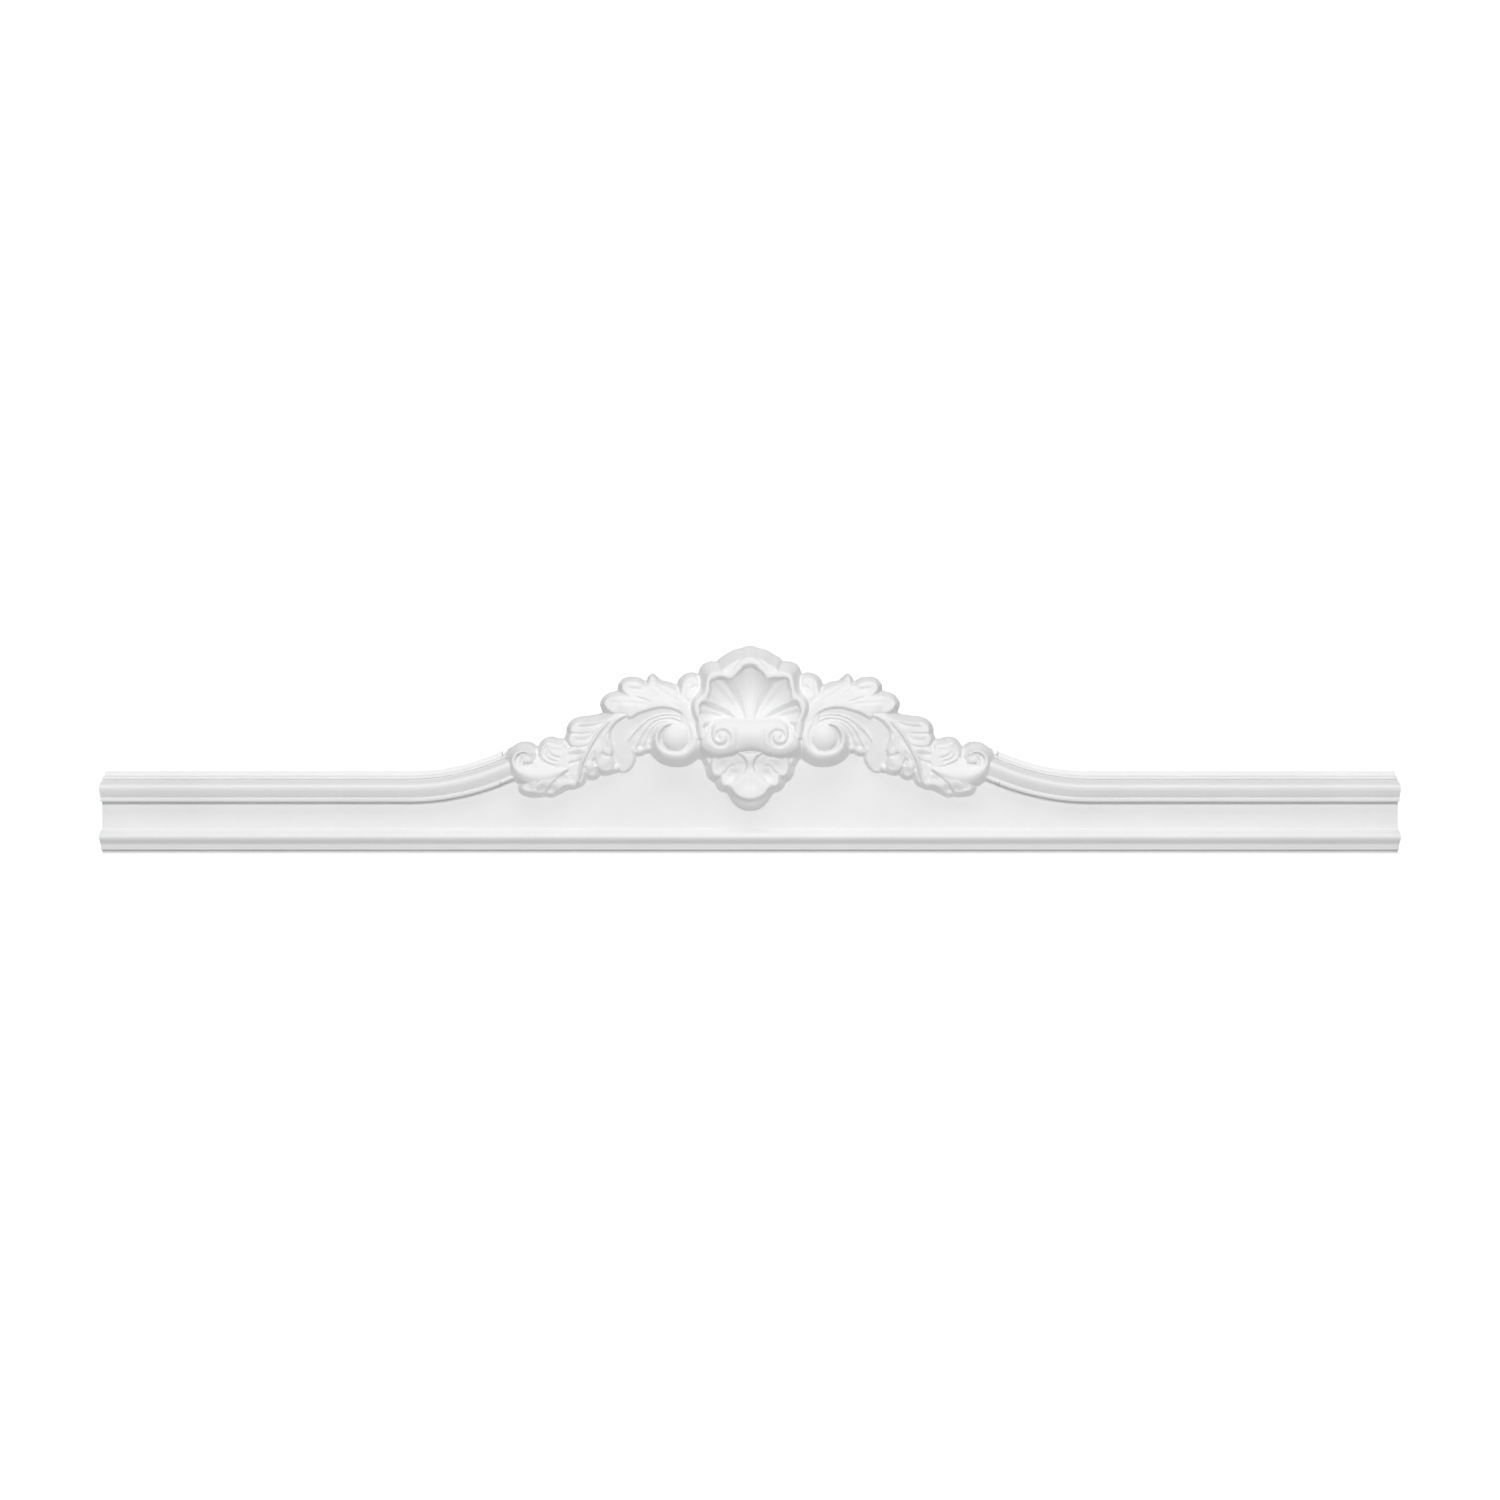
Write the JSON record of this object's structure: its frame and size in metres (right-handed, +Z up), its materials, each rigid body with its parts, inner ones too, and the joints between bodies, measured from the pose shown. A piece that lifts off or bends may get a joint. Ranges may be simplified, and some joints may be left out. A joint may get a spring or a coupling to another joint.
{
  "type": "door pediment",
  "caption": "Moulded door pediment: a straight run with a swept crown, a carved shell over a rolled console and leaf drop, and leaf scroll sprays, on a flat back.",
  "frame": {"origin": "on the flat back, at the middle of the length and at mid height of the straight run", "axes": "+X along the length, to the right seen from the front; the front faces -Y and the flat back faces +Y; +Z up"},
  "size_m": [1.302, 0.0489, 0.2099],
  "materials": {
    "paint": "factory-primed white over hard polyurethane foam, satin to matt"
  },
  "bodies": {
    "root": {"pediment": "paint"}
  },
  "joints": []
}
